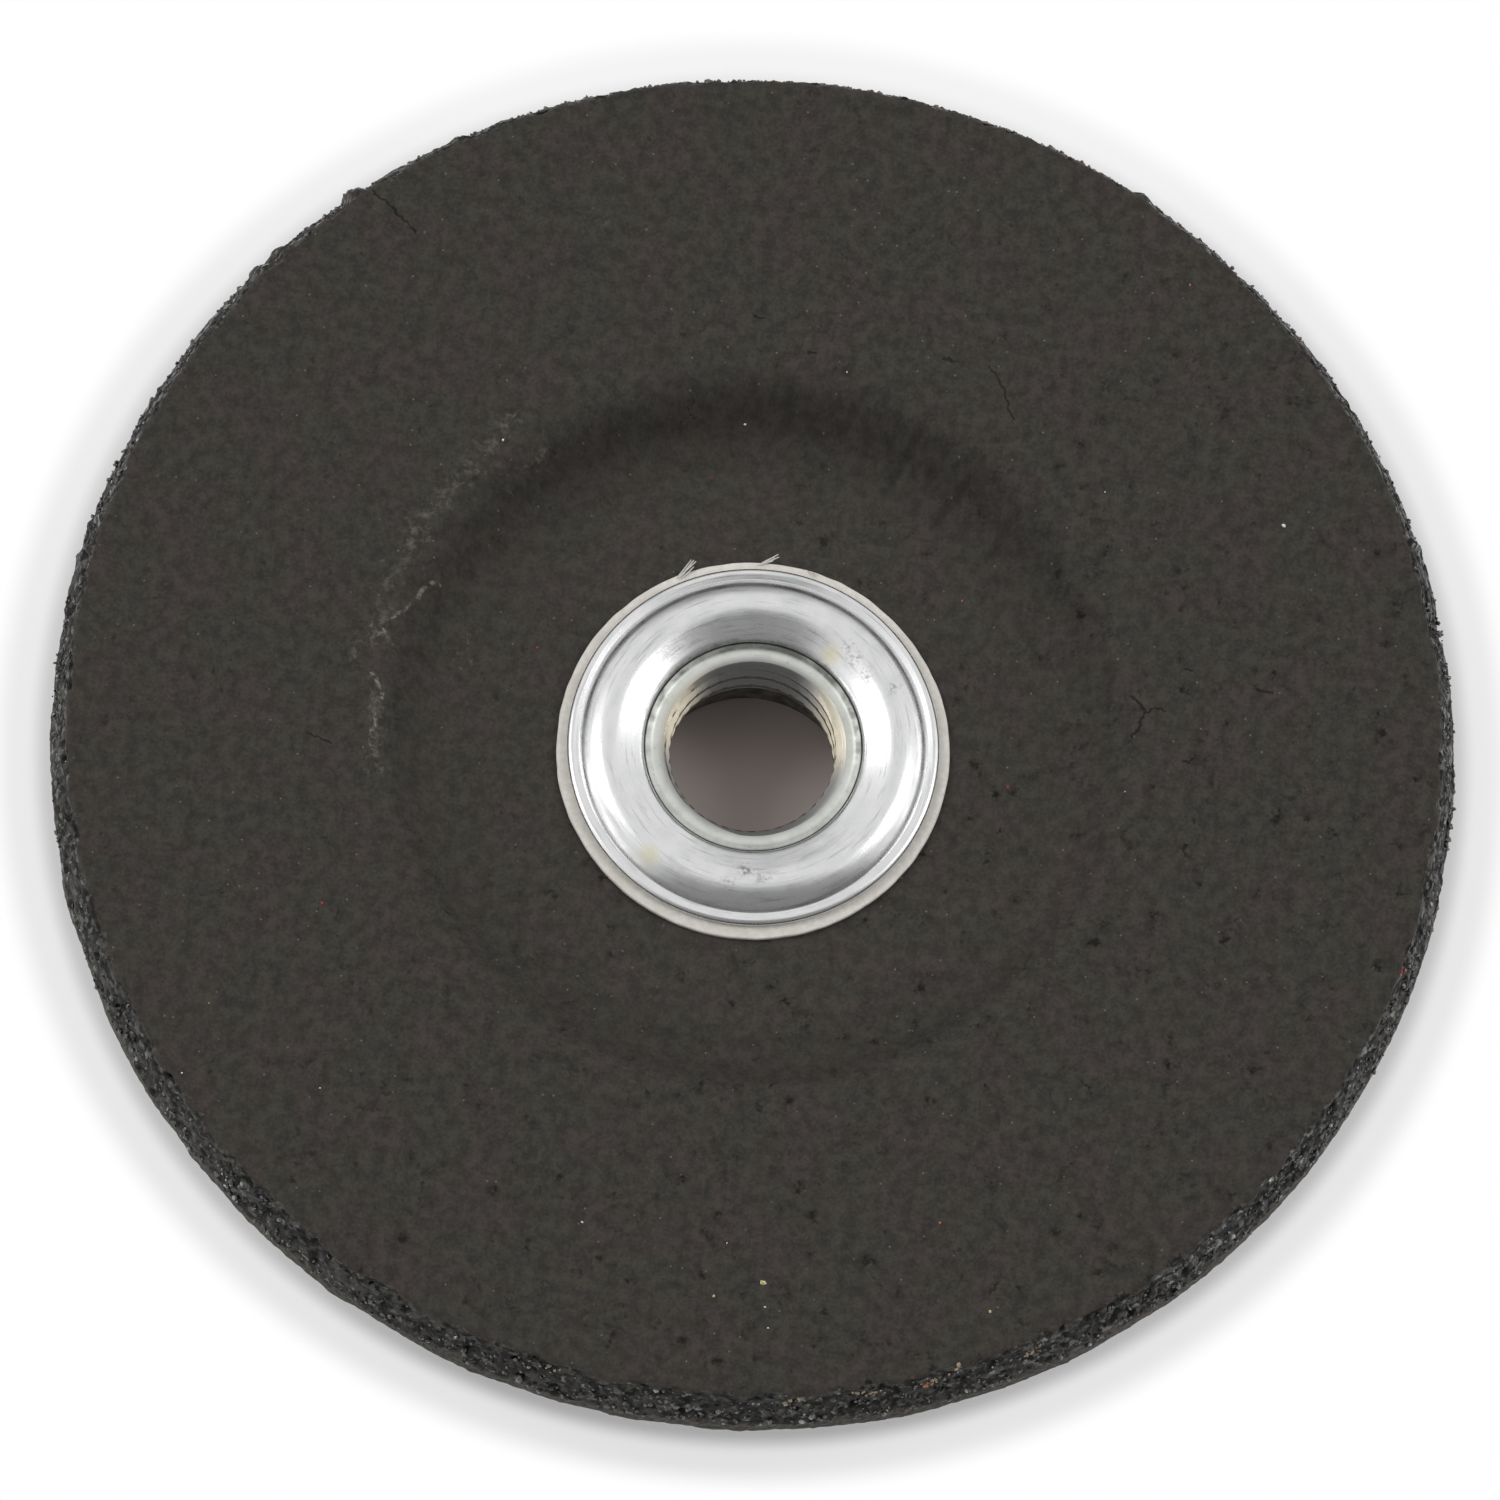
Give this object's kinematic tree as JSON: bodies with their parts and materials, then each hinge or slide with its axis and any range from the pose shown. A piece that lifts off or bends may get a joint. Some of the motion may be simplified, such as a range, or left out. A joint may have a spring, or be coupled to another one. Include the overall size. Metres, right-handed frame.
{
  "type": "grinding disc",
  "caption": "Depressed-centre abrasive grinding disc on a threaded steel hub nut, with a pressed flange and a thin washer on its hollow work side.",
  "frame": {"origin": "centre of the hub nut's machine-side end face, which the disc rests on", "axes": "+Z along the threaded bore, from the machine side towards the hollow work side; X and Y across the disc, with two corners of the hexagon on X"},
  "size_m": [0.1142, 0.1142, 0.0184],
  "materials": {
    "bonded_abrasive": "rough matte resin-bonded grit",
    "plated_steel": "satin zinc plate",
    "bright_plated_steel": "bright zinc plate with fine turned lines",
    "washer_board": "matte pressed fibre board"
  },
  "bodies": {
    "root": {"abrasive_wheel": "bonded_abrasive", "hub_nut": "plated_steel", "front_flange": "bright_plated_steel", "front_washer": "washer_board"}
  },
  "joints": []
}
